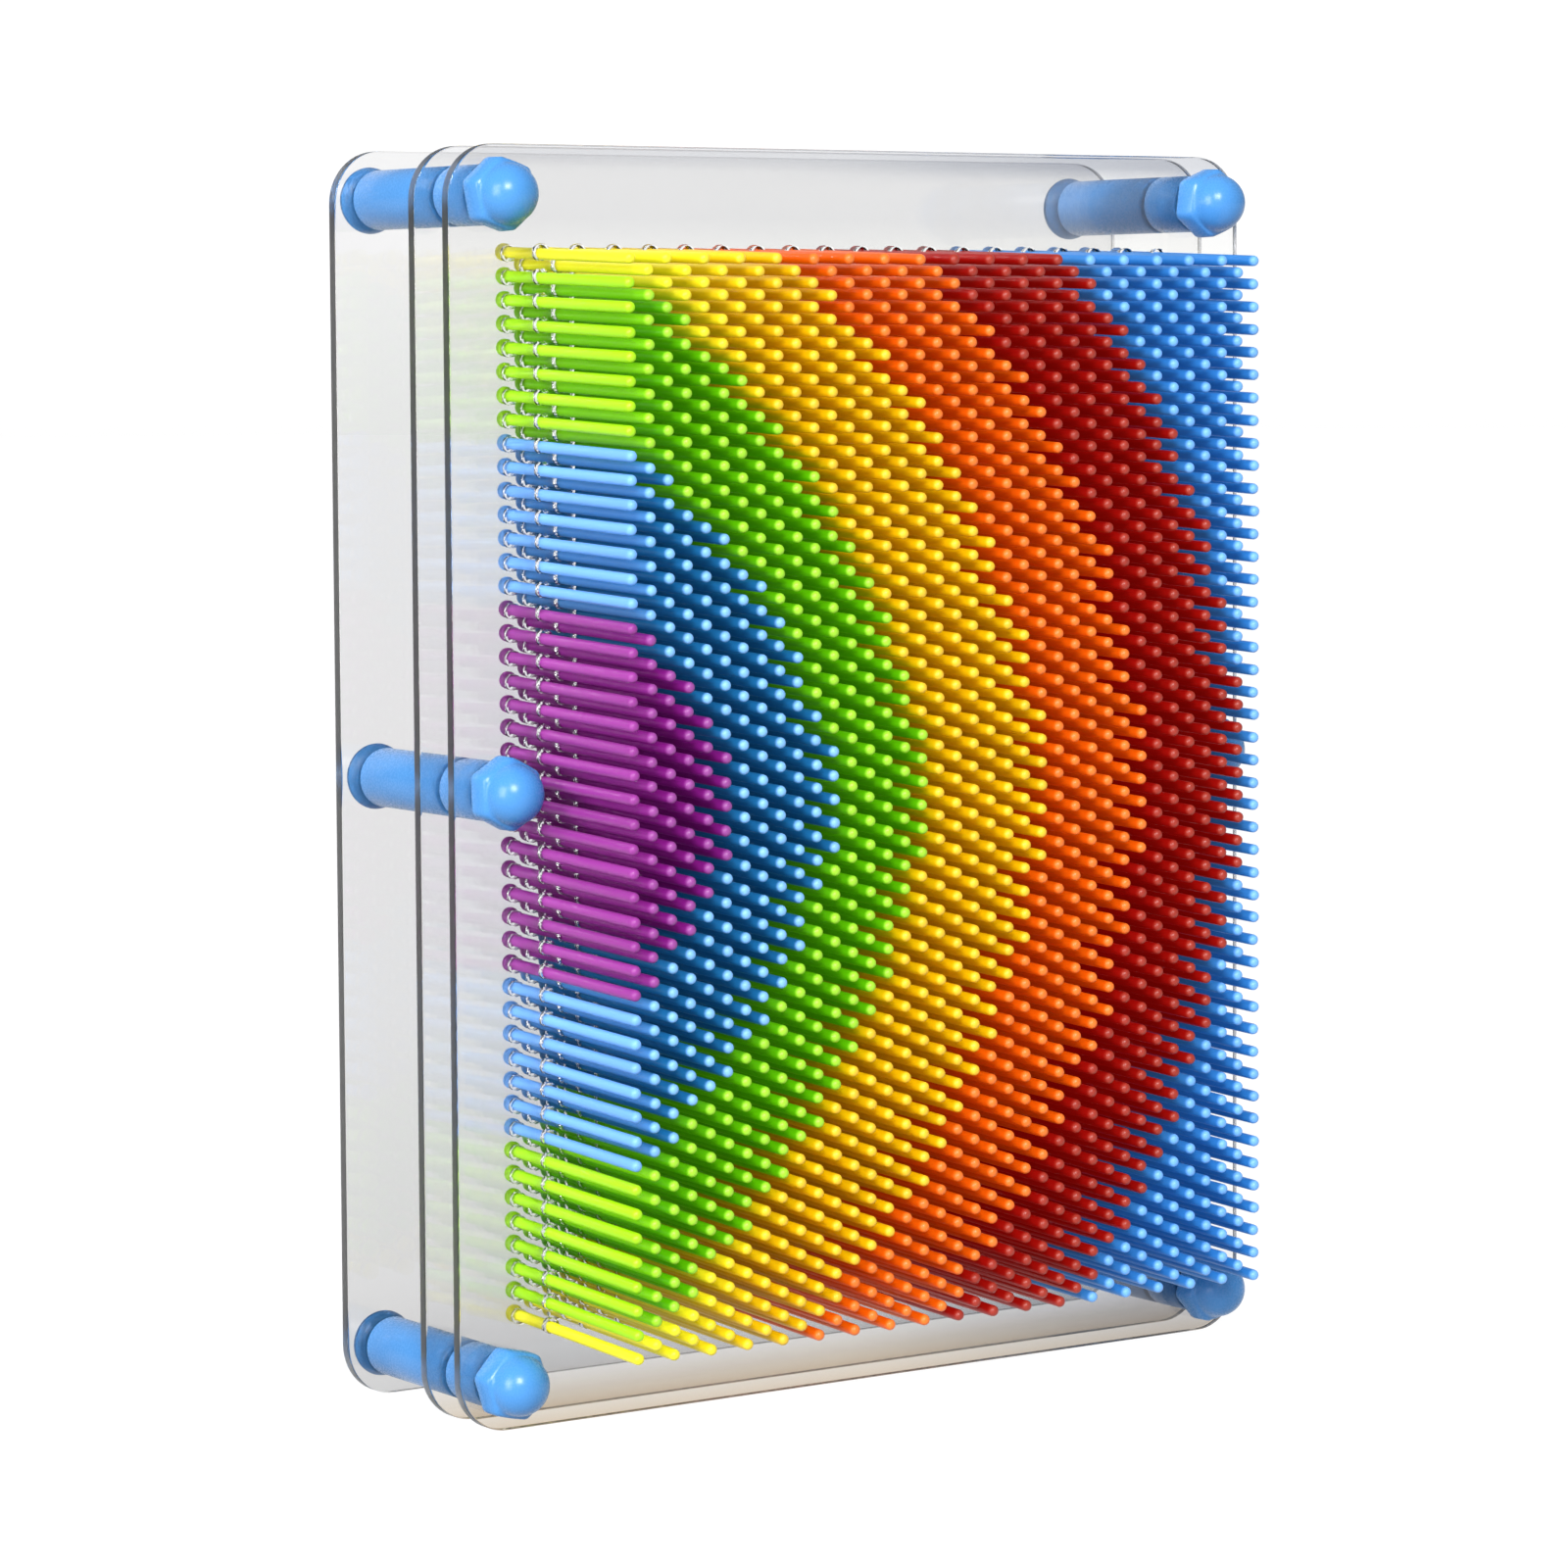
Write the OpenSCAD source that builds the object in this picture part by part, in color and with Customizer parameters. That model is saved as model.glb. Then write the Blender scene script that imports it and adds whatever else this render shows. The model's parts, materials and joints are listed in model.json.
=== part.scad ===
// Upright pin art toy: two drilled clear plates and a clear rear cover are held apart by six
// blue posts, and a staggered field of loose coloured pins slides through both drilled plates.
// +Z is up, the pin tips point along -Y, and the toy stands on the bottom edges of its plates.
// Millimetres throughout.

/* [Plates] */
// Width of each clear plate
plate_w = 155; // [154:1:170]
// Height of each clear plate
plate_h = 200; // [196:1:220]
// Thickness of each clear plate
plate_t = 2; // [1.6:0.1:2.4]
// Radius of the plate corners
corner_r = 8.5; // [6:0.5:10]
// Clear gap between the front and the rear drilled plate
front_gap = 8.3; // [7:0.1:12]
// Clear gap between the rear drilled plate and the rear cover
rear_gap = 23; // [18:0.5:26]

/* [Pin field] */
// Number of pin columns, which alternate between long and short
columns = 37; // [31:2:37]
// Number of pins in a long column; a short column has one less
rows = 46; // [40:2:46]
// Distance between neighbouring columns
column_pitch = 3.37; // [3.3:0.01:3.4]
// Distance between neighbouring pins of one column
row_pitch = 3.73; // [3.6:0.01:3.75]

/* [Pins] */
// Diameter of a pin's shank
pin_d = 1.8; // [1.6:0.1:2]
// Diameter of a pin's head, which is wider than the drilled holes
head_d = 2.8; // [2.7:0.1:2.9]
// Thickness of a pin's head
head_t = 1; // [0.6:0.1:1.4]
// How far the tips stand out of the front plate when the heads lie against the rear drilled plate
pin_reach = 25.75; // [20:0.25:26]
// Size of the rounded edge at a pin's tip
tip_round = 0.6; // [0.3:0.1:0.7]
// Diameter of the drilled holes, in whose play the pins hang a little nose down
pin_hole_d = 2.5; // [2.3:0.1:2.6]
// Slack left between a head and each plate at the ends of the travel
head_slack = 0.3; // [0.3:0.1:0.6]

/* [Colour bands] */
// How far each of the six inner colour bands reaches from the first column, purple to red
band_reach = [19.3, 39.2, 56.5, 78.9, 98.5, 119]; // [10:0.1:125]
// Half the height of each of the six inner colour bands at the first column, purple to red
band_half_height = [28.7, 54.1, 80.2, 96.5, 105.1, 123.7]; // [20:0.1:125]
// Height of the bands' centre above the centre of the pin field
band_rise = 0; // [-2:0.1:2]
// Fullness of each band's outline: 1 is a straight-sided point and 2 is an ellipse
band_fullness = [1.39, 1.41, 1.42, 1.68, 1.9, 1.93]; // [1:0.01:2]

/* [Posts] */
// Distance of each post's axis from the plate's side edge
post_inset_x = 8; // [7.5:0.5:8.5]
// Distance of each corner post's axis from the plate's top or bottom edge
post_inset_z = 7.8; // [7:0.1:9]
// Outside diameter of the sleeves between the plates
sleeve_d = 9.5; // [8:0.5:10]
// Diameter of each bolt's shank
bolt_d = 4.8; // [4:0.1:5]
// Diameter of each bolt's low head, behind the rear cover
bolt_head_d = 10.6; // [9:0.2:12]
// Height of each bolt's low head
bolt_head_h = 3; // [2:0.1:4]
// Size across the flats of each domed nut
nut_flats = 10.4; // [10:0.1:10.6]
// Height of the six-sided base of each domed nut
nut_base_h = 4.5; // [3.5:0.1:5]
// Radius of each domed nut's dome
nut_dome_r = 4.75; // [4.5:0.05:4.9]

/* [Hidden] */
$fn = 32;
corner_flats = 8;
pin_hole_sides = 16;

// Radial play of the bolts in the plates and sleeves, and the hairline between stacked faces.
bolt_play = 0.1;
seat_gap = 0.02;
// The drilled area is moulded in upright panels, every second one a trace thinner.
panel_count = 7;
panel_step = 0.05;
// Diameter of the engaged end of a bolt inside its nut, and how deep it reaches.
nut_bore_d = bolt_d + 2 * bolt_play;
nut_bore_h = 6;
bolt_into_nut = 5.6;
nut_bore_start = 1;
// Rounding of the bolt heads' edges, chamfer of the nuts' bases, and how far the domes sink in.
head_edge_r = 1.6;
nut_chamfer = 0.7;
dome_inset = 0.1;
// How far the nuts are each turned when tight, in the order of POSTS.
NUT_TURNS = [17, 41, 2, 30, 12, 52];
// Height of the drilled area above its end pins, and how far its centre lies below the plate's.
rim = 3;
field_drop = 0.6;
// Play that is left between a pin and the rims of its holes when it hangs nose down.
hang_gap = 0.2;

// Stack from the front: everything is centred on Y = 0 between the tips and the bolt heads.
total_depth = pin_reach + 3 * plate_t + front_gap + rear_gap + bolt_head_h;
y_front = -total_depth / 2 + pin_reach;
y_mid = y_front + plate_t + front_gap;
y_rear = y_mid + plate_t + rear_gap;
y_back = y_rear + plate_t;
pin_travel = rear_gap - head_t - 2 * head_slack;

// The field's half width and the height of its centre.
field_half_w = (columns - 1) * column_pitch / 2;
field_mid_z = plate_h / 2 - field_drop;

// The pins pivot half way through the two drilled plates, and slide along their own slant.
guide_span = 2 * plate_t + front_gap;
pivot_y = y_front + guide_span / 2;
pin_slant = atan((pin_hole_d - pin_d - hang_gap) / guide_span);
tip_bulge = (pin_d / 2 - tip_round) * sin(pin_slant) + tip_round * (1 - cos(pin_slant));
pivot_to_tip = (pin_reach + guide_span / 2 - tip_bulge) / cos(pin_slant);
pivot_to_head = guide_span / 2 + head_slack;

post_x = plate_w / 2 - post_inset_x;
POSTS = [for (z = [post_inset_z, plate_h / 2, plate_h - post_inset_z], x = [-post_x, post_x]) [x, z]];

// Colours, in the order in which the bands lie from the first column outwards.
BAND_NAMES = ["purple", "inner_blue", "green", "yellow", "orange", "red", "corner_blue"];
BAND_COLOURS = ["#A63CB0", "#4C9BE0", "#7ADB1E", "#F5CC12", "#F0701A", "#B41410", "#4E96E0"];
// Each band is split by height into this many groups of pins.
BAND_GROUPS = [2, 4, 5, 5, 5, 5, 4];
GROUP_WORDS = [
  [],
  [],
  ["lower", "upper"],
  [],
  ["bottom", "lower", "upper", "top"],
  ["bottom", "lower", "middle", "upper", "top"]
];

BANKS = [
  for (b = [0:len(BAND_NAMES) - 1], g = [0:BAND_GROUPS[b] - 1])
    [b, g, str("pins_", BAND_NAMES[b], "_", GROUP_WORDS[BAND_GROUPS[b]][g])]
];

function is_long(i) = i % 2 == 0;
function pins_in(i) = is_long(i) ? rows : rows - 1;
function pin_x(i) = (i - (columns - 1) / 2) * column_pitch;
function pin_z(i, j) = field_mid_z + (j - (pins_in(i) - 1) / 2) * row_pitch;

// Where a pin lies against a band's outline: below 1 is inside it.
function band_place(b, x, z) =
  pow((x + field_half_w) / band_reach[b], band_fullness[b])
  + pow(abs(z) / band_half_height[b], band_fullness[b]);
function band_at(x, z, b = 0) =
  b == len(band_reach) ? b : band_place(b, x, z) < 1 ? b : band_at(x, z, b + 1);

// Half the height that a band spans, which its groups share out evenly.
function band_span(b) = min(b < len(band_reach) ? band_half_height[b] : plate_h, rows * row_pitch / 2);
function group_at(b, z) =
  let (n = BAND_GROUPS[b], s = band_span(b))
    max(0, min(n - 1, floor((z + s) / (2 * s) * n)));

// The outline of a plate, whose four rounded corners are each cut as a run of short flats.
module face_outline(w, h, r) {
  polygon([for (q = [0:3], k = [0:corner_flats])
    let (a = 90 * (q + k / corner_flats))
    let (x = (q == 0 || q == 3 ? 1 : -1) * (w / 2 - r), z = q < 2 ? h - r : r)
      [x + r * cos(a), z + r * sin(a)]]);
}

module post_holes() {
  for (p = POSTS) translate(p) circle(bolt_d / 2 + bolt_play);
}

// Stands a flat outline up as a slab that reaches from y back towards +Y.
module slab(y, t) {
  translate([0, y + t, 0]) rotate([90, 0, 0]) linear_extrude(t) children();
}

module field_window(first, last) {
  x0 = pin_x(first) - column_pitch / 2;
  x1 = pin_x(last) + column_pitch / 2;
  z1 = pin_z(0, rows - 1) + rim;
  z0 = pin_z(0, 0) - rim;
  translate([x0, z0]) square([x1 - x0, z1 - z0]);
}

module field_panel(first, last) {
  difference() {
    field_window(first, last);
    for (i = [first:last], j = [0:pins_in(i) - 1])
      translate([pin_x(i), pin_z(i, j)]) circle(pin_hole_d / 2, $fn = pin_hole_sides);
  }
}

module guide_plate(y) {
  slab(y, plate_t) difference() {
    face_outline(plate_w, plate_h, corner_r);
    post_holes();
    field_window(0, columns - 1);
  }
  for (k = [0:panel_count - 1]) {
    first = floor(k * columns / panel_count);
    last = floor((k + 1) * columns / panel_count) - 1;
    step = k % 2 == 0 ? panel_step : 2 * panel_step;
    slab(y + step, plate_t - 2 * step) field_panel(first, last);
  }
}

module guide_plate_front() {
  color("#DDE6EC", 0.35) guide_plate(y_front);
}

module guide_plate_rear() {
  color("#D5E0E8", 0.35) guide_plate(y_mid);
}

module cover_rear() {
  color("#CFDCE6", 0.35) slab(y_rear, plate_t) difference() {
    face_outline(plate_w, plate_h, corner_r);
    post_holes();
  }
}

// Turns a profile drawn as radius against depth into a body of revolution along Y.
module turned(p, y) {
  translate([p.x, y, p.y]) rotate([-90, 0, 0]) rotate_extrude() children();
}

module bolt(p) {
  shank_y = y_front - bolt_into_nut;
  turned(p, shank_y) square([bolt_d / 2, y_back - shank_y + bolt_head_h / 2]);
  turned(p, y_back + seat_gap) {
    square([bolt_head_d / 2, bolt_head_h - seat_gap - head_edge_r]);
    square([bolt_head_d / 2 - head_edge_r, bolt_head_h - seat_gap]);
    translate([bolt_head_d / 2 - head_edge_r, bolt_head_h - seat_gap - head_edge_r])
      intersection() {
        circle(head_edge_r);
        square(head_edge_r);
      }
  }
}

module post_bolts() {
  color("#3F7FC4") for (p = POSTS) bolt(p);
}

module sleeve(p, y, len) {
  turned(p, y + seat_gap) translate([bolt_d / 2 + bolt_play, 0])
    square([sleeve_d / 2 - bolt_d / 2 - bolt_play, len - 2 * seat_gap]);
}

module post_sleeves_long() {
  color("#66AAF5") for (p = POSTS) sleeve(p, y_mid + plate_t, rear_gap);
}

module post_sleeves_short() {
  color("#66AAF5") for (p = POSTS) sleeve(p, y_front + plate_t, front_gap);
}

// Domed nut: a chamfered six-sided base and a dome, with a blind bore for the bolt.
module dome_nut(p, turn) {
  corner = nut_flats / sqrt(3);
  translate([p.x, y_front - seat_gap, p.y]) rotate([90, turn, 0]) difference() {
    union() {
      intersection() {
        cylinder(r = corner, h = nut_base_h, $fn = 6);
        cylinder(r1 = corner + nut_base_h - nut_chamfer, r2 = corner - nut_chamfer, h = nut_base_h);
      }
      translate([0, 0, nut_base_h - dome_inset]) intersection() {
        sphere(nut_dome_r);
        cylinder(r = 2 * nut_dome_r, h = 2 * nut_dome_r);
      }
    }
    translate([0, 0, -nut_bore_start]) cylinder(r = nut_bore_d / 2, h = nut_bore_h + nut_bore_start);
  }
}

module post_dome_nuts() {
  color("#6DB0FA") for (k = [0:len(POSTS) - 1]) dome_nut(POSTS[k], NUT_TURNS[k]);
}

// One pin about its pivot, its tip towards -Y and its head towards +Y.
module pin() {
  shank_end = pivot_to_head + head_t / 2;
  rotate([-90, 0, 0]) rotate_extrude() {
    translate([0, tip_round - pivot_to_tip]) square([pin_d / 2, shank_end + pivot_to_tip - tip_round]);
    translate([0, -pivot_to_tip]) square([pin_d / 2 - tip_round, tip_round * 2]);
    translate([pin_d / 2 - tip_round, tip_round - pivot_to_tip]) intersection() {
      circle(tip_round);
      translate([0, -tip_round]) square(tip_round);
    }
    translate([0, pivot_to_head]) square([head_d / 2, head_t]);
  }
}

module pin_bank(b, g) {
  for (i = [0:columns - 1], j = [0:pins_in(i) - 1])
    let (x = pin_x(i), z = pin_z(i, j), up = z - field_mid_z)
      if (band_at(x, up - band_rise) == b && group_at(b, up) == g)
        translate([x, pivot_y, z]) rotate([pin_slant, 0, 0]) pin();
}

cover_rear();
guide_plate_front();
guide_plate_rear();
post_bolts();
post_sleeves_long();
post_sleeves_short();
post_dome_nuts();
for (k = BANKS) color(BAND_COLOURS[k[0]]) pin_bank(k[0], k[1]);
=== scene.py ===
import json
import math
import random

import bpy
import numpy as np
from mathutils import Matrix, Vector
from mathutils.geometry import delaunay_2d_cdt


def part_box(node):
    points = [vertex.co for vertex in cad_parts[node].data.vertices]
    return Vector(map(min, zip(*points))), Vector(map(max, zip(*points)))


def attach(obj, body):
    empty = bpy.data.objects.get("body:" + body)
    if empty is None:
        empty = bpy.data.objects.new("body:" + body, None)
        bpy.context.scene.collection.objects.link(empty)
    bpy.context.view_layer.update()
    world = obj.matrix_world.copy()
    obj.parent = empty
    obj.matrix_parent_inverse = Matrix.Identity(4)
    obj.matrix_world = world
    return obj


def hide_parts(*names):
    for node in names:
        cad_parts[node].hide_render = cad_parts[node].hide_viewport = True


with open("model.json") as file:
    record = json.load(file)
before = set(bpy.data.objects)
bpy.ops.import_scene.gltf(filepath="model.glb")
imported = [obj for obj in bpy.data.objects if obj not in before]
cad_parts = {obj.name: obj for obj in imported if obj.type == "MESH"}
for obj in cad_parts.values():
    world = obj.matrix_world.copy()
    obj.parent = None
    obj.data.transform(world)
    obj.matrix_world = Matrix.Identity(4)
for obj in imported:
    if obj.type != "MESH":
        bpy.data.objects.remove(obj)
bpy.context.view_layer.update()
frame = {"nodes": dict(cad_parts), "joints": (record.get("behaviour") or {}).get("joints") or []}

MM = 0.001
# The body that the plates and posts belong to.
BODY = "frame"
SCENE = bpy.context.scene

# ---------------------------------------------------------------- camera
CAMERA_AT = Vector((-0.4744, -0.681975, 0.1690))
YAW, PITCH, ROLL = (math.radians(a) for a in (-34.19, -3.94, -0.35))
LENS_MM = 116.98
SHIFT_Y = -0.0569


def make_camera():
    forward = Vector(
        (-math.sin(YAW) * math.cos(PITCH), math.cos(YAW) * math.cos(PITCH), math.sin(PITCH))
    )
    right = Vector((math.cos(YAW), math.sin(YAW), 0))
    up = right.cross(forward)
    across = right * math.cos(ROLL) + up * math.sin(ROLL)
    upward = up * math.cos(ROLL) - right * math.sin(ROLL)
    data = bpy.data.cameras.new("camera")
    data.lens = LENS_MM
    data.sensor_width = 36
    data.shift_y = SHIFT_Y
    data.clip_start, data.clip_end = 0.05, 50
    camera = bpy.data.objects.new("camera", data)
    turn = Matrix((across, upward, -forward)).transposed().to_4x4()
    camera.matrix_world = Matrix.Translation(CAMERA_AT) @ turn
    SCENE.collection.objects.link(camera)
    SCENE.camera = camera


make_camera()


# ---------------------------------------------------------------- node helpers
class Nodes:
    """A material's node tree, with one call per node."""

    def __init__(self, name):
        self.mat = bpy.data.materials.new(name)
        self.mat.use_nodes = True
        self.tree = self.mat.node_tree
        self.tree.nodes.clear()
        self.out = self.tree.nodes.new("ShaderNodeOutputMaterial")

    def add(self, kind, links=None, **values):
        node = self.tree.nodes.new("ShaderNode" + kind)
        for key, value in values.items():
            setattr(node, key, value)
        for socket, source in (links or {}).items():
            self.set(node, socket, source)
        return node

    def set(self, node, socket, source):
        target = node.inputs[socket]
        if isinstance(source, bpy.types.NodeSocket):
            self.tree.links.new(source, target)
        elif isinstance(source, bpy.types.Node):
            self.tree.links.new(source.outputs[0], target)
        else:
            target.default_value = source

    def math(self, operation, a, b=0.0, clamp=False):
        node = self.add("Math", {0: a, 1: b}, operation=operation)
        node.use_clamp = clamp
        return node.outputs[0]

    def ramp(self, factor, stops):
        node = self.add("ValToRGB", {0: factor})
        node.color_ramp.interpolation = "LINEAR"
        while len(node.color_ramp.elements) < len(stops):
            node.color_ramp.elements.new(0.5)
        for element, (place, colour) in zip(node.color_ramp.elements, stops):
            element.position = place
            element.color = colour
        return node.outputs[0]

    def mix(self, factor, a, b, blend="MIX"):
        node = self.add("Mix", data_type="RGBA", blend_type=blend)
        self.set(node, 0, factor)
        self.set(node, 6, a)
        self.set(node, 7, b)
        return node.outputs[2]

    def noise(self, scale, detail):
        node = self.add("TexNoise", {"Scale": scale, "Detail": detail, "Vector": self.place()})
        node.inputs["Roughness"].default_value = 0.5
        return node.outputs["Fac"]

    def place(self):
        return self.add("TexCoord").outputs["Object"]

    def along(self, axis):
        """The coordinate of the shaded point along X, Y or Z (0, 1 or 2)."""
        return self.add("SeparateXYZ", {0: self.place()}).outputs[axis]

    def finish(self, surface):
        self.set(self.out, "Surface", surface)
        return self.mat


def linear(r, g, b):
    """A linear colour with alpha from one given in sRGB bytes."""

    def one(v):
        v /= 255
        return v / 12.92 if v <= 0.04045 else ((v + 0.055) / 1.055) ** 2.4

    return (one(r), one(g), one(b), 1.0)


# Depth behind the tips in which a pin turns from its painted light end to the colour of its body.
PAINTED_TIP_LIGHT_DEPTH = 1.6 * MM
# Share of the painted side light colour in the outermost row, and the width that has all of it.
PAINTED_SIDE_LIGHT_SHARE, PAINTED_SIDE_LIGHT_FULL = 0.85, 1.5 * MM
# Each piece is up to this much darker or lighter than its material's colour.
SHADE_FROM, SHADE_SPAN = 0.92, 0.16
PLASTIC_IOR, PLASTIC_SHINE = 1.49, 0.36


def moulded_plastic(
    name, colour, deep, rough=0.3, glow=0.0, tip_y=None, side=None, side_x=0.0, side_wide=0.0
):
    """Semi-gloss moulded plastic: each piece a touch different, with a fine moulded grain.
    Pins are dyed deep, with painted light in their rounded ends, from tip_y backwards, and in
    the outermost rows, whose whole shanks stand in the light: side is the painted light colour
    there, and it fades out side_wide from side_x. glow is a painted glow in the surface's own
    colour."""
    n = Nodes(name)
    island = n.add("NewGeometry").outputs["Random Per Island"]
    shift = n.math("MULTIPLY_ADD", island, SHADE_SPAN)
    shift.node.inputs[2].default_value = SHADE_FROM
    cloud = n.noise(260.0, 2.0)
    if tip_y is None:
        share = n.math("MULTIPLY", cloud, 0.4)
    else:
        # Painted light: the rounded ends take the light colour, which fades to the deep one behind
        # them.
        back = {"Value": n.along(1), "From Min": tip_y, "From Max": tip_y + PAINTED_TIP_LIGHT_DEPTH}
        ramp = n.add("MapRange", back, interpolation_type="SMOOTHERSTEP")
        share = n.math("ADD", ramp.outputs[0], n.math("MULTIPLY", cloud, 0.12), clamp=True)
    body = n.mix(share, colour, deep)
    # Painted light: the outermost rows take the side colour along their whole shanks.
    if side:
        inwards = {"From Min": side_x + PAINTED_SIDE_LIGHT_FULL, "From Max": side_x + side_wide}
        edge = n.add("MapRange", inwards, interpolation_type="SMOOTHSTEP")
        n.set(edge, "Value", n.along(0))
        edge.inputs["To Min"].default_value = PAINTED_SIDE_LIGHT_SHARE
        edge.inputs["To Max"].default_value = 0.0
        body = n.mix(edge.outputs[0], body, side)
    grey = n.add("CombineColor", {0: shift, 1: shift, 2: shift}).outputs[0]
    body = n.mix(1.0, body, grey, "MULTIPLY")
    grain = n.noise(2600.0, 2.0)
    bump = n.add("Bump", {"Height": grain, "Strength": 0.06, "Distance": 0.05 * MM})
    sheen = n.ramp(grain, [(0.3, (rough - 0.05,) * 3 + (1,)), (0.7, (rough + 0.07,) * 3 + (1,))])
    shader = n.add("BsdfPrincipled", {"Base Color": body, "Roughness": sheen, "Normal": bump})
    shader.inputs["IOR"].default_value = PLASTIC_IOR
    shader.inputs["Specular IOR Level"].default_value = PLASTIC_SHINE
    # A painted glow in the surface's own colour, which lifts its shade.
    if glow:
        n.set(shader, "Emission Color", body)
        shader.inputs["Emission Strength"].default_value = glow
    return n.finish(shader.outputs[0])


PLATE_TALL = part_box("cover_rear")[1].z


def corner_shade(n, height):
    """How much painted shade darkens the foot and the top edge of a plate towards the right, from 0
    to 1.
    """
    right = n.add("MapRange", {"Value": n.along(0), "From Min": 0.0, "From Max": 70 * MM})
    foot = n.add("MapRange", {"Value": height, "From Min": 13 * MM, "From Max": 3 * MM})
    top_from, top_to = PLATE_TALL - 4.5 * MM, PLATE_TALL - 2 * MM
    top = n.add("MapRange", {"Value": height, "From Min": top_from, "From Max": top_to})
    top.inputs["To Max"].default_value = 0.55
    return n.math("MULTIPLY", right.outputs[0], n.math("ADD", foot.outputs[0], top.outputs[0]))


def clear_plastic(name, tones, rough=0.0):
    """Clear polished acrylic with the faintest waviness in its surface. Painted shade of a soft
    grey lies in it, deeper towards the foot: tones are (height, colour). Its foot and its top
    edge take a little more painted shade towards the right."""
    n = Nodes(name)
    wave = n.noise(9.0, 1.0)
    bump = n.add("Bump", {"Height": wave, "Strength": 0.02, "Distance": 0.4 * MM})
    height = n.along(2)
    # Painted shade by height, from the tones.
    level = n.math("MULTIPLY", height, 1 / PLATE_TALL)
    painted_shade = n.ramp(level, [(z / PLATE_TALL, colour) for z, colour in tones])
    # Painted shade: the foot and the top edge darken towards the right.
    shade = n.math("MULTIPLY", corner_shade(n, height), 0.8)
    painted_shade = n.mix(shade, painted_shade, (0.6, 0.63, 0.7, 1), "MULTIPLY")
    pale = n.mix(1.0, painted_shade, (0.985, 0.985, 0.985, 1), "MULTIPLY")
    cloud = n.mix(n.noise(30.0, 2.0), painted_shade, pale)
    shader = n.add("BsdfPrincipled", {"Base Color": cloud, "Normal": bump})
    shader.inputs["Roughness"].default_value = rough
    shader.inputs["IOR"].default_value = PLASTIC_IOR
    shader.inputs["Transmission Weight"].default_value = 1.0
    return n.finish(shader.outputs[0])


# ---------------------------------------------------------------- meshes
def new_object(name, vertices, faces, materials, face_material=None, smooth=None):
    mesh = bpy.data.meshes.new(name)
    mesh.from_pydata([tuple(v) for v in vertices], [], [tuple(f) for f in faces])
    for material in materials:
        mesh.materials.append(material)
    if face_material is not None:
        mesh.polygons.foreach_set("material_index", np.asarray(face_material, np.int32))
    if smooth is None:
        smooth = np.ones(len(faces), bool)
    mesh.polygons.foreach_set("use_smooth", np.asarray(smooth, bool))
    mesh.update()
    obj = bpy.data.objects.new(name, mesh)
    SCENE.collection.objects.link(obj)
    return obj


def clusters(values, gap):
    """The middles of the runs of values that lie further apart than gap."""
    values = np.sort(values)
    cuts = np.flatnonzero(np.diff(values) > gap) + 1
    return [((run[0] + run[-1]) / 2) for run in np.split(values, cuts)]


def body_of(node):
    """The body that a bank of pins is, such as bank_red_top for pins_red_top."""
    return node.replace("pins_", "bank_")


def slope_of(node):
    """The way that a bank slides, from its tips to its heads."""
    joint = next(j for j in frame["joints"] if j["child"] == body_of(node))
    return Vector(joint["axis"]).normalized()


def colour_of(node):
    """The colour in a bank's name, such as inner_blue in pins_inner_blue_top."""
    return node.removeprefix("pins_").rsplit("_", 1)[0]


def pin_heads(node):
    """The centre of the back of every head in a bank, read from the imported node."""
    mesh = frame["nodes"][node].data
    points = np.empty(len(mesh.vertices) * 3, np.float32)
    mesh.vertices.foreach_get("co", points)
    points = points.reshape(-1, 3).astype(float)
    back = points[:, 1].max()
    rim = points[points[:, 1] > back - 0.4 * MM]
    found = []
    for x in clusters(rim[:, 0], 0.3 * MM):
        column = rim[abs(rim[:, 0] - x) < 1.5 * MM]
        for z in clusters(column[:, 2], 0.3 * MM):
            found.append((x, back, z))
    return found


PIN_SIDES = 14
PIN_R = 0.9 * MM
HEAD_R = 1.4 * MM
HEAD_T = 1.0 * MM
# From the back of a head to the middle of the two drilled holes that its shank lies in.
HEAD_TO_PIVOT = 7.45 * MM
# How far a pin turns sideways and up or down in its holes, in degrees.
YAW_PLAY, DROOP_PLAY = 0.2, 0.12
# How far a head stands off the guide plate behind it.
HEAD_GAP = (0.03 * MM, 0.13 * MM)


def pin_profile(length):
    """(distance from the head's back, radius) along one pin, tip last."""
    edge, tip = 0.22 * MM, 0.85 * MM
    profile = [(0.0, HEAD_R * 0.45), (0.02 * MM, HEAD_R - edge)]
    for k in range(1, 4):
        a = k * math.pi / 6
        profile.append((edge * (1 - math.cos(a)) + 0.02 * MM, HEAD_R - edge + edge * math.sin(a)))
    profile.append((HEAD_T - 0.1 * MM, HEAD_R))
    profile.append((HEAD_T, HEAD_R - 0.1 * MM))
    profile.append((HEAD_T + 0.02 * MM, PIN_R + 0.15 * MM))
    profile.append((HEAD_T + 0.2 * MM, PIN_R))
    profile.append((length * 0.5, PIN_R))
    for k in range(0, 5):
        a = k * math.pi / 10
        profile.append((length - tip * (1 - math.sin(a)), PIN_R * (1 - 0.92 * (1 - math.cos(a)))))
    return profile


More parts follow.
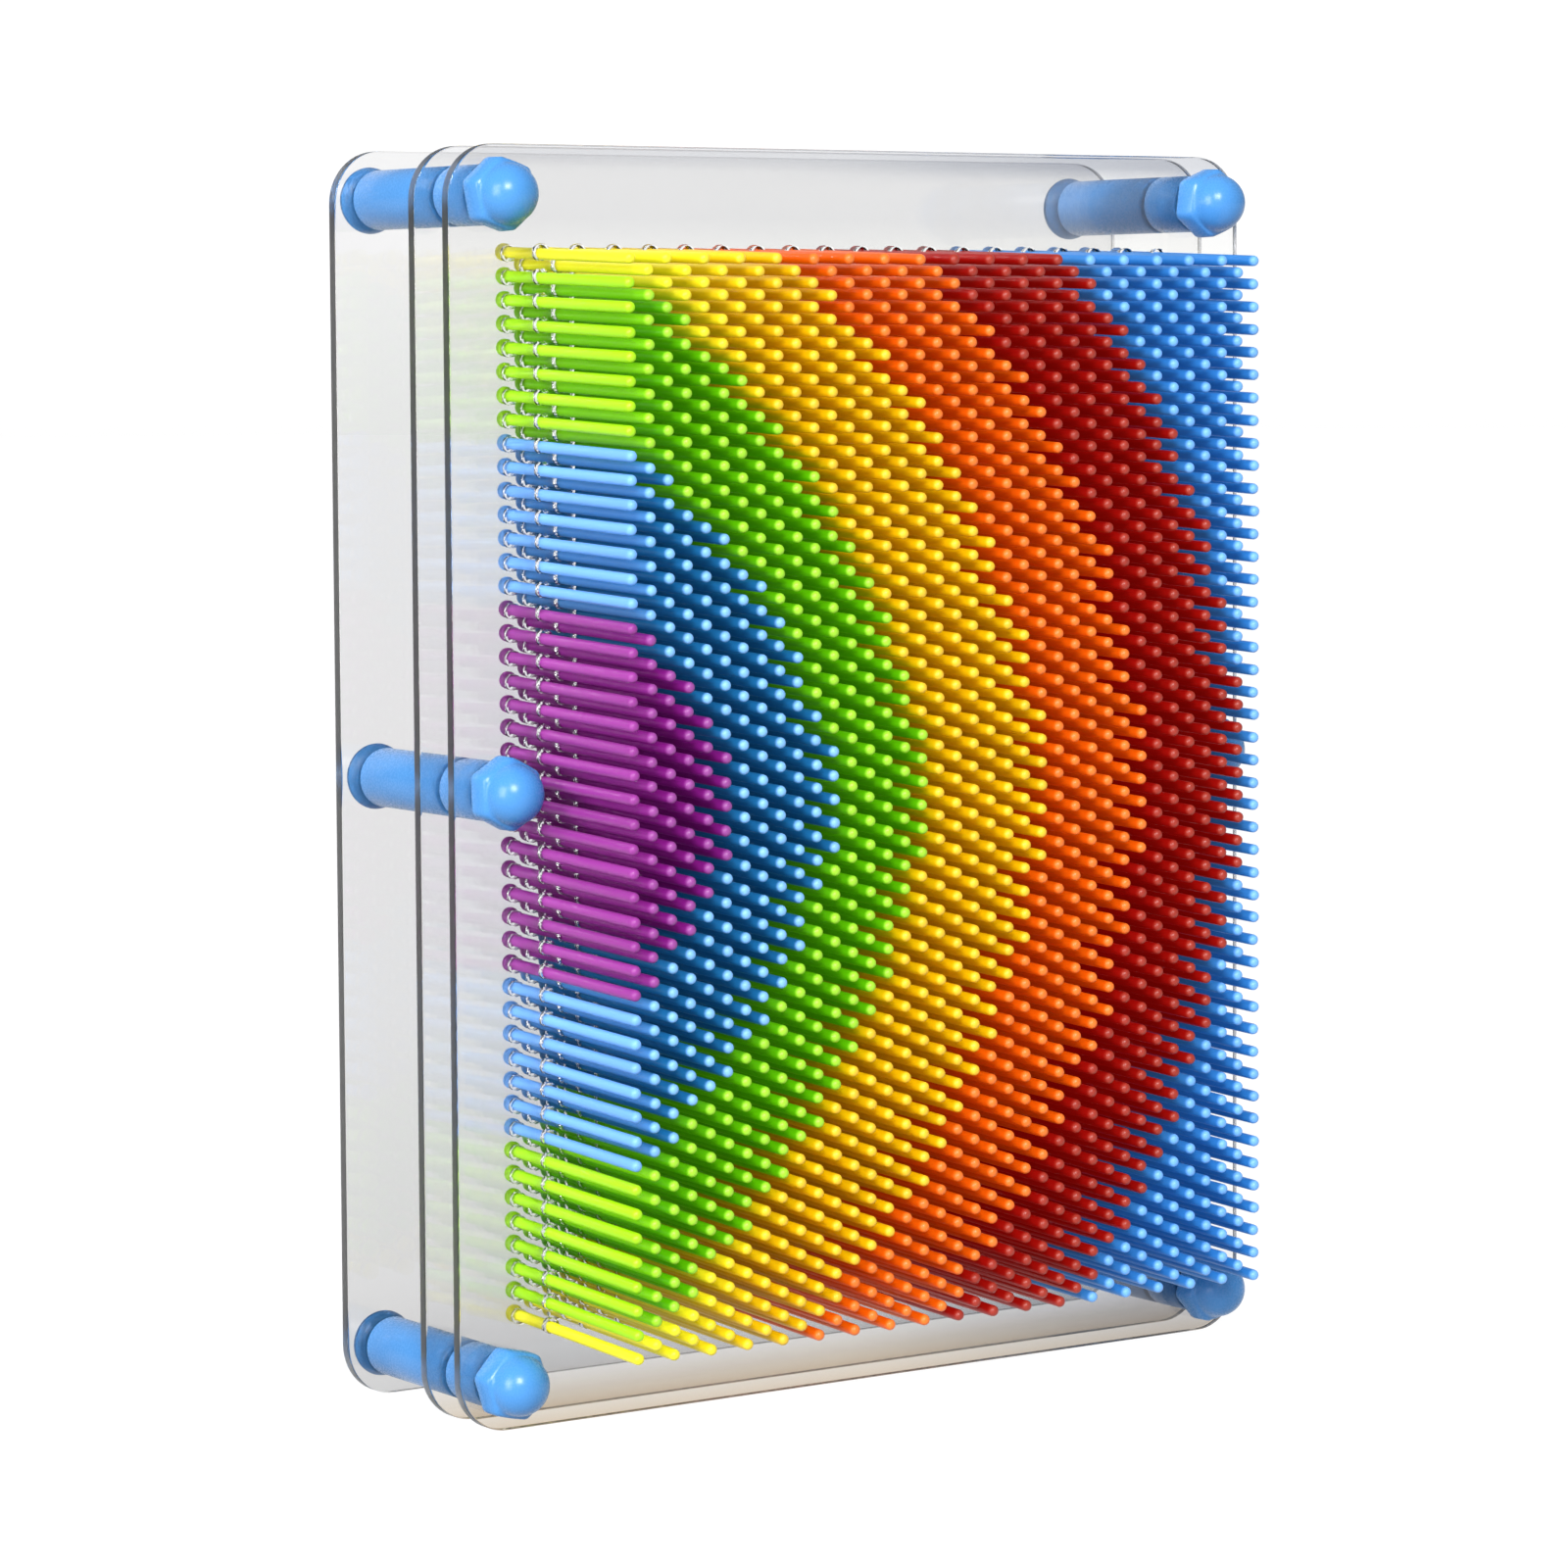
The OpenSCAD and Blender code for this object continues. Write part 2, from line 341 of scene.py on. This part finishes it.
def pin_shape(length):
    """The points of one pin along +X from its head's back, and its faces."""
    profile = pin_profile(length)
    turns = [2 * math.pi * k / PIN_SIDES for k in range(PIN_SIDES)]
    points = [(d, r * math.cos(t), r * math.sin(t)) for d, r in profile for t in turns]
    back, tip = len(points), len(points) + 1
    points += [(0.0, 0.0, 0.0), (length, 0.0, 0.0)]
    faces = []
    for ring in range(len(profile) - 1):
        for k in range(PIN_SIDES):
            a, b = ring * PIN_SIDES + k, ring * PIN_SIDES + (k + 1) % PIN_SIDES
            faces.append((a, a + PIN_SIDES, b + PIN_SIDES, b))
    last_ring = (len(profile) - 1) * PIN_SIDES
    for k in range(PIN_SIDES):
        b = (k + 1) % PIN_SIDES
        faces.append((back, k, b))
        faces.append((tip, last_ring + b, last_ring + k))
    return np.array(points), faces


def pin_turn(rng, slope):
    """Rows that turn a pin's own axes into its place in its holes, with a little play."""
    yaw = rng.uniform(-YAW_PLAY, YAW_PLAY)
    droop = rng.uniform(-DROOP_PLAY, DROOP_PLAY)
    forward = Matrix.Rotation(math.radians(yaw), 3, "Z") @ -slope
    forward = Matrix.Rotation(math.radians(droop), 3, "X") @ forward
    side = forward.cross(Vector((0, 0, 1))).normalized()
    up = side.cross(forward)
    spin = rng.uniform(0, 2 * math.pi)
    c, s = math.cos(spin), math.sin(spin)
    return np.array([forward, side * c + up * s, up * c - side * s])


def make_bank(node, material, seed):
    """All the pins of one bank, in one object that stands for its node."""
    rng = random.Random(seed)
    lo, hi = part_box(node)
    slope = slope_of(node)
    shape, shape_faces = pin_shape((hi.y - lo.y) / slope.y)
    vertices, faces = [], []
    for n, head in enumerate(pin_heads(node)):
        turn = pin_turn(rng, slope)
        # The pin turns about the middle of its drilled holes, so its shank stays inside them.
        back = np.array(head) - (np.array(slope) + turn[0]) * HEAD_TO_PIVOT
        back = back + np.array(slope) * rng.uniform(*HEAD_GAP)
        vertices.append(shape @ turn + back)
        faces += [tuple(n * len(shape) + i for i in f) for f in shape_faces]
    obj = new_object(node.replace("pins_", "pin_bank_"), np.vstack(vertices), faces, [material])
    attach(obj, body_of(node))
    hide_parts(node)
    return obj


def rounded_outline(half_w, low, high, radius, steps):
    """Points of an upright rounded rectangle, anticlockwise as seen from the front."""
    points = []
    for sx, sz, start in ((1, -1, -90), (1, 1, 0), (-1, 1, 90), (-1, -1, 180)):
        cx = sx * (half_w - radius)
        cz = (high - radius) if sz > 0 else (low + radius)
        for k in range(steps + 1):
            a = math.radians(start + 90 * k / steps)
            points.append((cx + radius * math.cos(a), cz + radius * math.sin(a)))
    return points


def circle_points(x, z, radius, sides):
    turns = [2 * math.pi * k / sides for k in range(sides)]
    return [(x + radius * math.cos(t), z + radius * math.sin(t)) for t in turns]


CORNER_R, CORNER_STEPS = 8.5 * MM, 14
EDGE_R, EDGE_STEPS = 0.22 * MM, 3


def edge_loops(lo, hi):
    """The rounded edge of a plate, as (outline, depth behind the plate's face) from the face on."""
    half_w = (hi.x - lo.x) / 2
    loops = []
    for k in range(EDGE_STEPS + 1):
        a = math.pi / 2 * k / EDGE_STEPS
        inset, back = EDGE_R * (1 - math.sin(a)), EDGE_R * (1 - math.cos(a))
        low, high, radius = lo.z + inset, hi.z - inset, CORNER_R - inset
        loops.append((rounded_outline(half_w - inset, low, high, radius, CORNER_STEPS), back))
    return loops


def drilled_face(outline, holes):
    """A flat face with round holes, as its points, its triangles, and the point numbers of the
    outline and of each hole's rim."""
    flat = [Vector(p) for p in outline]
    rims = [range(len(flat))]
    for x, z, radius, sides in holes:
        rims.append(range(len(flat), len(flat) + sides))
        flat += [Vector(p) for p in circle_points(x, z, radius, sides)]
    edges = [(rim[k], rim[(k + 1) % len(rim)]) for rim in rims for k in range(len(rim))]
    points, _, triangles, origin, _, _ = delaunay_2d_cdt(flat, edges, [], 0, 1e-9)
    points = np.array([tuple(p) for p in points])
    if len(points) != len(flat):
        raise SystemExit("the plate's face was cut in an unexpected way")
    lookup = np.empty(len(flat), int)
    for new, old in enumerate(origin):
        lookup[old[0]] = new
    rims = [[int(lookup[k]) for k in rim] for rim in rims]
    hole_of = np.full(len(points), -1)
    for number, rim in enumerate(rims[1:]):
        hole_of[rim] = number
    triangles = np.array([tuple(t) for t in triangles])
    owners = hole_of[triangles]
    in_hole = (owners[:, 0] >= 0) & (owners[:, 0] == owners[:, 1]) & (owners[:, 1] == owners[:, 2])
    triangles = triangles[~in_hole]
    a, b, c = (points[triangles[:, k]] for k in range(3))
    flipped = np.cross(b - a, c - a) < 0
    triangles[flipped] = triangles[flipped][:, ::-1]
    return points, triangles, rims[0], rims[1:]


def make_plate(node, name, clear, edge, holes):
    """A clear plate with softly rounded edges; holes are (x, z, radius, sides)."""
    lo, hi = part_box(node)
    loops = edge_loops(lo, hi)
    points, triangles, outer, hole_rims = drilled_face(loops[0][0], holes)
    count = len(points)
    vertices = [(p[0], lo.y, p[1]) for p in points] + [(p[0], hi.y, p[1]) for p in points]
    faces = [tuple(t) for t in triangles] + [tuple(t[::-1] + count) for t in triangles]
    flats = len(faces)
    kind = [0] * flats

    # The outer edge, from the front face round to the back one: its middle is the sawn flat.
    rings = [outer]
    for outline, back in loops[1:]:
        rings.append(list(range(len(vertices), len(vertices) + len(outer))))
        vertices += [(x, lo.y + back, z) for x, z in outline]
    mirrored = []
    for ring in rings[1:]:
        mirrored.append(list(range(len(vertices), len(vertices) + len(outer))))
        vertices += [(vertices[i][0], hi.y + lo.y - vertices[i][1], vertices[i][2]) for i in ring]
    rings += mirrored[::-1] + [[k + count for k in outer]]
    for number, (a, b) in enumerate(zip(rings, rings[1:])):
        for k in range(len(outer)):
            j = (k + 1) % len(outer)
            faces.append((a[k], b[k], b[j], a[j]))
            kind.append(1 if number == EDGE_STEPS else 0)

    for rim in hole_rims:
        for a, b in zip(rim, rim[1:] + rim[:1]):
            faces.append((a, b, b + count, a + count))
            kind.append(0)
    smooth = [False] * flats + [True] * (len(faces) - flats)
    obj = new_object(name, vertices, faces, [clear, edge], kind, smooth)
    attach(obj, BODY)
    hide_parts(node)
    return obj


# ---------------------------------------------------------------- build
SLEEVE_R, BORE_R, BORE_SIDES = 4.75 * MM, 2.5 * MM, 24
# The twelve flats of a pin hole lie on the 2.5 mm circle, so its corners reach a little further.
PIN_HOLE_R, PIN_HOLE_SIDES = 1.29 * MM, 12

# A pin's painted light end, the deep colour of its body, the strength of a painted glow in its
# own colour, the painted light colour of the outermost rows, and how far in that one reaches,
# in millimetres.
PIN_COLOURS = {
    "purple": ((138, 65, 138), (118, 20, 116), 0.13, (140, 50, 138), 5.5),
    "inner_blue": ((120, 174, 228), (24, 98, 150), 0.14, (108, 164, 234), 5.5),
    "green": ((148, 202, 46), (80, 162, 0), 0.17, (156, 214, 6), 5.5),
    "yellow": ((228, 184, 44), (220, 174, 0), 0.05, (232, 230, 36), 32.0),
    "orange": ((224, 112, 38), (208, 82, 0), 0.1, None, 0.0),
    "red": ((134, 42, 30), (126, 5, 2), 0.42, None, 0.0),
    "corner_blue": ((104, 160, 224), (41, 110, 178), 0.25, None, 0.0),
}
PIN_ROUGHNESS = 0.36
FIRST_SEED = 100

# Painted shade in the clear plates, by height: darker at the foot and, in the guide plates, at the
# top.
COVER_PAINTED_SHADE = [(0, 0.62), (18 * MM, 0.69), (60 * MM, 0.77), (110 * MM, 0.82), (175 * MM, 0.87)]
GUIDE_PAINTED_SHADE = [
    (0, (0.68, 0.58, 0.46, 1)),
    (2.5 * MM, (0.74, 0.69, 0.62, 1)),
    (7 * MM, (0.82, 0.82, 0.825, 1)),
    (14 * MM, (0.89, 0.895, 0.905, 1)),
    (28 * MM, (0.975, 0.98, 0.98, 1)),
    (100 * MM, (0.98, 0.985, 0.998, 1)),
    (184 * MM, (0.975, 0.975, 0.965, 1)),
    (189 * MM, (0.93, 0.93, 0.93, 1)),
    (196.5 * MM, (0.93, 0.93, 0.93, 1)),
    (198.5 * MM, (0.84, 0.845, 0.86, 1)),
]
# Painted shade on the plates' sawn edges, by height: a little darker towards the foot.
EDGE_PAINTED_SHADE = [(0, (0.9, 0.9, 0.9, 1)), (PLATE_TALL, (0.93, 0.93, 0.93, 1))]

pin_nodes = sorted(n for n in frame["nodes"] if n.startswith("pins_"))


def pin_material(colour, tips_y, left_x):
    light, deep, glow, side, side_wide = PIN_COLOURS[colour]
    side = linear(*side) if side else None
    ends = (linear(*light), linear(*deep))
    edge = (side, left_x, side_wide * MM)
    return moulded_plastic("pin_" + colour, *ends, PIN_ROUGHNESS, glow, tips_y, *edge)


def make_pins():
    lows = [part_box(node)[0] for node in pin_nodes]
    tips_y, left_x = min(low.y for low in lows), min(low.x for low in lows)
    materials = {colour: pin_material(colour, tips_y, left_x) for colour in PIN_COLOURS}
    for number, node in enumerate(pin_nodes):
        make_bank(node, materials[colour_of(node)], FIRST_SEED + number)


def pin_holes():
    """Every pin's hole in the guide plates, level with its shank halfway between them."""
    slope = slope_of(pin_nodes[0])
    middle = (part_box("guide_plate_front")[0].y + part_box("guide_plate_rear")[1].y) / 2
    heads = [head for node in pin_nodes for head in pin_heads(node)]
    drop = slope.z / slope.y
    return [(x, z - drop * (y - middle), PIN_HOLE_R, PIN_HOLE_SIDES) for x, y, z in heads]


def post_centres():
    """(x, z) of the six posts, from the foot up and the left first."""
    lo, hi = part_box("post_sleeves_long")
    x = hi.x - SLEEVE_R
    levels = (lo.z + SLEEVE_R, (lo.z + hi.z) / 2, hi.z - SLEEVE_R)
    return [(side * x, z) for z in levels for side in (-1, 1)]


def make_plates():
    cover_clear = clear_plastic("cover_clear", [(z, (v, v, v * 1.005, 1)) for z, v in COVER_PAINTED_SHADE])
    guide_clear = clear_plastic("guide_clear", GUIDE_PAINTED_SHADE)
    edge_clear = clear_plastic("edge_clear", EDGE_PAINTED_SHADE, 0.4)
    bores = [(x, z, BORE_R, BORE_SIDES) for x, z in post_centres()]
    drilled = pin_holes() + bores
    make_plate("guide_plate_front", "front_guide_plate", guide_clear, edge_clear, drilled)
    make_plate("guide_plate_rear", "rear_guide_plate", guide_clear, edge_clear, drilled)
    make_plate("cover_rear", "rear_cover", cover_clear, edge_clear, bores)


make_pins()
make_plates()
# The posts' blue, with a painted glow of 0.26 in its own colour.
post_blue = moulded_plastic("post_blue", linear(70, 136, 200), linear(61, 124, 191), 0.26)


def turned_shape(profile, sides, swell=None):
    """A closed body of revolution: profile is (y, radius) from front to back, with radius 0 at
    both ends. swell(turn, y) scales the radius, for a body that isn't quite round."""
    vertices, faces, rings = [], [], []
    for y, r in profile:
        if r == 0:
            rings.append([len(vertices)])
            vertices.append((0.0, y, 0.0))
            continue
        rings.append(list(range(len(vertices), len(vertices) + sides)))
        for k in range(sides):
            a = 2 * math.pi * k / sides
            q = r * (swell(a, y) if swell else 1.0)
            vertices.append((q * math.cos(a), y, q * math.sin(a)))
    for a, b in zip(rings, rings[1:]):
        for k in range(sides):
            j = (k + 1) % sides
            if len(a) == 1:
                faces.append((a[0], b[k], b[j]))
            elif len(b) == 1:
                faces.append((a[k], b[0], a[j]))
            else:
                faces.append((a[k], b[k], b[j], a[j]))
    return np.array(vertices), faces


def rounded(y0, y1, radius, edge, steps=4, closed=True):
    """A profile from y0 to y1 with rounded edges, which runs in to the axis if it is closed."""
    front = []
    for k in range(steps, -1, -1):
        a = math.pi / 2 * k / steps
        front.append((y0 + edge * (1 - math.sin(a)), radius - edge * (1 - math.cos(a))))
    back = [(y0 + y1 - y, r) for y, r in front][::-1]
    if closed:
        return [(y0, 0.0)] + front + back + [(y1, 0.0)]
    return front + back


def six_of(node, name, shape, turns=None):
    """The same turned body on each of the six posts, in one object that stands for a node."""
    vertices, faces = [], []
    for n, (x, z) in enumerate(post_centres()):
        a = math.radians(turns[n]) if turns else 0.0
        turn = np.array([[math.cos(a), 0, math.sin(a)], [0, 1, 0], [-math.sin(a), 0, math.cos(a)]])
        base = n * len(shape[0])
        vertices.append(shape[0] @ turn + np.array((x, 0, z)))
        faces += [tuple(base + i for i in f) for f in shape[1]]
    obj = new_object(name, np.vstack(vertices), faces, [post_blue])
    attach(obj, BODY)
    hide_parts(node)
    return obj


def tube_shape(y0, y1, outer, inner, edge, sides=48):
    """An open sleeve with rounded ends."""
    outside = rounded(y0, y1, outer, edge, closed=False)
    profile = outside + [(y1, inner), (y0, inner), outside[0]]
    vertices, faces = [], []
    for y, r in profile[:-1]:
        for k in range(sides):
            a = 2 * math.pi * k / sides
            vertices.append((r * math.cos(a), y, r * math.sin(a)))
    count = len(profile) - 1
    for i in range(count):
        for k in range(sides):
            a, b = i * sides, ((i + 1) % count) * sides
            j = (k + 1) % sides
            faces.append((a + k, b + k, b + j, a + j))
    return np.array(vertices), faces


BOLT_R, BOLT_HEAD_R = 2.4 * MM, 5.3 * MM
# How far each domed nut happens to be turned, in degrees.
NUT_TURNS = (17, 41, 2, 30, 12, 52)


def bolt_shape():
    """A bolt with a low round head that lies on the rear cover."""
    lo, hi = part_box("post_bolts")
    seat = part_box("cover_rear")[1].y + 0.02 * MM
    head = rounded(seat, hi.y, BOLT_HEAD_R, 1.5 * MM, 6)
    shank = [(lo.y, 0.0), (lo.y, BOLT_R * 0.86), (lo.y + 0.4 * MM, BOLT_R), (seat, BOLT_R)]
    return turned_shape(shank + head[1:], 48)


def sleeve_shape(node):
    lo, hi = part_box(node)
    return tube_shape(lo.y, hi.y, SLEEVE_R, BORE_R, 0.3 * MM)


def nut_shape():
    """A domed nut: a six-sided base with softened corners that runs into a smooth dome."""
    flats, dome, sides = 5.2 * MM, 4.75 * MM, 72
    tip, base = (corner.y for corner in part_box("post_dome_nuts"))
    crown = base - 4.4 * MM

    def hexagon(a):
        t = (a + math.pi / 6) % (math.pi / 3) - math.pi / 6
        sharp = 1 / math.cos(t)
        return min(sharp, 1.0 + 0.118 * (1 - ((abs(t) - math.pi / 6) / 0.5) ** 2 * 0.6))

    profile = [(tip, 0.0)]
    for k in range(1, 13):
        a = math.pi / 2 * k / 12
        profile.append((tip + (crown - tip) * (1 - math.cos(a)), dome * math.sin(a)))
    profile.append((crown + 0.12 * MM, dome + 0.12 * MM))
    flat_start = crown + 0.5 * MM
    profile += [(crown + 0.22 * MM, flats - 0.2 * MM), (flat_start, flats)]
    profile += [(base - 0.7 * MM, flats), (base - 0.3 * MM, flats - 0.05 * MM)]
    profile += [(base - 0.08 * MM, flats - 0.22 * MM)]
    profile += [(base, flats - 0.4 * MM), (base, 0.0)]

    def swell(a, y):
        share = min(1.0, max(0.0, (y - crown + 0.9 * MM) / (1.9 * MM)))
        return 1 + (hexagon(a) - 1) * share * share * (3 - 2 * share)

    return turned_shape(profile, sides, swell)


six_of("post_bolts", "bolts", bolt_shape())
six_of("post_sleeves_long", "long_sleeves", sleeve_shape("post_sleeves_long"))
six_of("post_sleeves_short", "short_sleeves", sleeve_shape("post_sleeves_short"))
six_of("post_dome_nuts", "dome_nuts", nut_shape(), NUT_TURNS)


# ---------------------------------------------------------------- stage
WORLD_LIGHT = 0.45


def make_world():
    world = bpy.data.worlds.new("studio")
    SCENE.world = world
    world.use_nodes = True
    tree = world.node_tree
    tree.nodes.clear()
    out = tree.nodes.new("ShaderNodeOutputWorld")
    back = tree.nodes.new("ShaderNodeBackground")
    back.inputs[0].default_value = (1, 1, 1, 1)
    back.inputs[1].default_value = WORLD_LIGHT
    tree.links.new(back.outputs[0], out.inputs[0])


make_world()


def make_dome():
    """A wide white backdrop, brighter towards the top, that is seen but lights nothing."""
    n = Nodes("backdrop")
    glow = n.add("MapRange", {"Value": n.along(2), "From Min": 0.0, "From Max": 1.2})
    glow.inputs["To Min"].default_value = 1.0
    glow.inputs["To Max"].default_value = 1.2
    shader = n.add("Emission", {"Color": (1, 1, 1, 1), "Strength": glow.outputs[0]})
    sides, levels, radius = 48, (-1.0, 0.0, 1.0, 2.0, 3.5, 5.5, 8.0), 9.0
    vertices, faces = [], []
    for z in levels:
        for k in range(sides):
            a = 2 * math.pi * k / sides
            vertices.append((radius * math.cos(a), radius * math.sin(a), z))
    for level in range(len(levels) - 1):
        for k in range(sides):
            a, b = level * sides + k, level * sides + (k + 1) % sides
            faces.append((a, b, b + sides, a + sides))
    faces.append(tuple(range(len(vertices) - sides, len(vertices))))
    obj = new_object("backdrop", vertices, faces, [n.finish(shader.outputs[0])])
    obj.visible_diffuse = False
    obj.visible_glossy = False
    obj.visible_shadow = False


make_dome()


def make_floor():
    n = Nodes("floor")
    tone = n.mix(n.noise(3.0, 2.0), (0.09, 0.09, 0.09, 1), (0.11, 0.11, 0.11, 1))
    diffuse = n.add("BsdfDiffuse", {"Color": tone})
    glow = n.add("Emission", {"Color": (1, 1, 1, 1), "Strength": 0.97})
    both = n.add("AddShader", {0: diffuse, 1: glow})
    half, level = 12.0, -0.1 * MM
    corners = [(x * half, y * half, level) for x, y in ((-1, -1), (1, -1), (1, 1), (-1, 1))]
    obj = new_object("floor", corners, [(0, 1, 2, 3)], [n.finish(both.outputs[0])])
    obj.visible_diffuse = False


make_floor()


def area_light(name, at, size, watts):
    """A soft white light that faces the middle of the toy."""
    data = bpy.data.lights.new(name, "AREA")
    data.shape = "RECTANGLE"
    data.size, data.size_y = size
    data.energy = watts
    obj = bpy.data.objects.new(name, data)
    at = Vector(at)
    aim = (Vector((0, 0, PLATE_TALL / 2)) - at).to_track_quat("-Z", "Y").to_matrix().to_4x4()
    obj.matrix_world = Matrix.Translation(at) @ aim
    SCENE.collection.objects.link(obj)


area_light("key", at=(-1.0, -1.6, 1.1), size=(0.7, 0.7), watts=50)
area_light("left", at=(-1.8, -0.5, 0.5), size=(0.8, 1.2), watts=30)

SCENE.view_settings.view_transform = "Standard"
